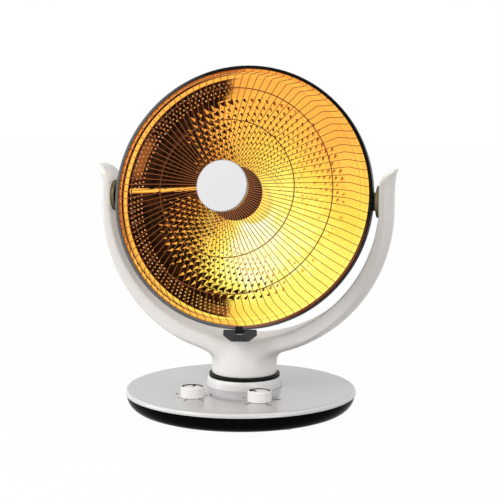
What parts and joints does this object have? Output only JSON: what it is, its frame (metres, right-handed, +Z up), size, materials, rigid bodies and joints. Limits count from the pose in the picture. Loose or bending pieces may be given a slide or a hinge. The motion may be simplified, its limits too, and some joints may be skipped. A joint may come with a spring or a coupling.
{
  "type": "carbon dish heater",
  "caption": "Oscillating dish heater: a round gold reflector with a wound element behind a radial wire guard, tilting in a curved fork on a round base with two knobs.",
  "frame": {"origin": "on the floor under the middle of the round base", "axes": "+Z up, -Y the front that the dish and the knobs face, +X the heater's left side (the right side of the picture)"},
  "size_m": [0.349, 0.264, 0.3917],
  "materials": {
    "black_plastic": "satin",
    "light_grey_gloss": "gloss",
    "pale_gloss": "gloss",
    "white_bearing_plastic": "satin",
    "black_rubber": "matte",
    "zinc_steel": "satin",
    "cast_weight": "matte",
    "dark_plastic": "satin",
    "motor_case": "satin",
    "red_plastic": "satin",
    "bronze_disc": "matte",
    "brown_plastic": "satin",
    "rim_paint": "satin",
    "guard_wire": "satin",
    "hub_paint": "satin",
    "gold_reflector": "polished, gold",
    "housing_paint": "satin",
    "ceramic": "unglazed ceramic",
    "glowing_wire": "glowing",
    "shield_paint": "matte"
  },
  "bodies": {
    "base": {"base_bottom": "black_plastic", "base_top": "light_grey_gloss", "rubber_feet": "black_rubber", "case_screws": "zinc_steel", "weight_ring": "cast_weight", "collar": "pale_gloss", "neck_ring": "black_plastic", "swing_bush": "white_bearing_plastic", "gear_motor": "motor_case", "rotary_switch": "dark_plastic", "timer": "white_bearing_plastic", "tip_switch": "dark_plastic", "cord_inlet": "black_rubber"},
    "tip_plunger": {"tip_plunger": "red_plastic"},
    "knob_left": {"knob_left": "pale_gloss", "knob_left_ring": "black_plastic", "knob_left_shaft": "zinc_steel"},
    "knob_right": {"knob_right": "pale_gloss", "knob_right_ring": "black_plastic", "knob_right_shaft": "zinc_steel"},
    "crank": {"crank": "white_bearing_plastic", "crank_shaft": "zinc_steel"},
    "fork": {"fork": "pale_gloss", "swing_post": "zinc_steel", "post_washer": "zinc_steel", "post_nut": "zinc_steel", "swing_lever": "zinc_steel", "pivot_bolts": "zinc_steel", "friction_discs": "bronze_disc", "pivot_nuts": "zinc_steel"},
    "head": {"pivot_bosses": "brown_plastic", "rim_band": "rim_paint", "guard_wires": "guard_wire", "guard_rings": "guard_wire", "hub_cap": "hub_paint", "hub_plate": "rim_paint", "hub_screw": "zinc_steel", "reflector": "gold_reflector", "rear_housing": "housing_paint", "rear_cap": "black_plastic", "element_core": "ceramic", "heater_coil": "glowing_wire", "front_shield": "shield_paint", "element_rod": "zinc_steel", "rod_nuts": "zinc_steel", "element_plate": "zinc_steel", "terminal_block": "ceramic", "thermal_cutout": "dark_plastic", "housing_screws": "zinc_steel", "latch_lug": "zinc_steel", "latch_pin": "zinc_steel"},
    "latch": {"latch_clip": "dark_plastic"}
  },
  "joints": [
    {"name": "tip_plunger_drop", "type": "slide", "parent": "base", "child": "tip_plunger", "axis": [0, 0, -1], "range_m": [0, 0.005], "stiffness_N_per_m": 60, "springref_m": 0.012},
    {"name": "power_knob_turn", "type": "hinge", "parent": "base", "child": "knob_left", "pos_m": [-0.0385, -0.063, 0.03], "axis": [0, 0, -1], "range_deg": [0, 270]},
    {"name": "timer_knob_turn", "type": "hinge", "parent": "base", "child": "knob_right", "pos_m": [0.0385, -0.063, 0.03], "axis": [0, 0, -1], "range_deg": [0, 280]},
    {"name": "fork_swing", "type": "hinge", "parent": "base", "child": "fork", "pos_m": [0, 0.0165, 0.03], "axis": [0, 0, 1], "range_deg": [-40, 40]},
    {"name": "crank_turn", "type": "hinge", "parent": "base", "child": "crank", "pos_m": [0, 0.0405, 0.0175], "axis": [0, 0, 1], "range_deg": [-90, 90]},
    {"name": "head_tilt", "type": "hinge", "parent": "fork", "child": "head", "pos_m": [0, 0.0165, 0.2415], "axis": [-1, 0, 0], "range_deg": [-5, 22]},
    {"name": "latch_open", "type": "hinge", "parent": "head", "child": "latch", "pos_m": [0.008, -0.03291, 0.09625], "axis": [-0.9986, -0.0116, -0.051], "range_deg": [0, 35]}
  ],
  "couplings": [
    {"joint": "crank_turn", "follows": "fork_swing", "ratio": 2.25}
  ]
}
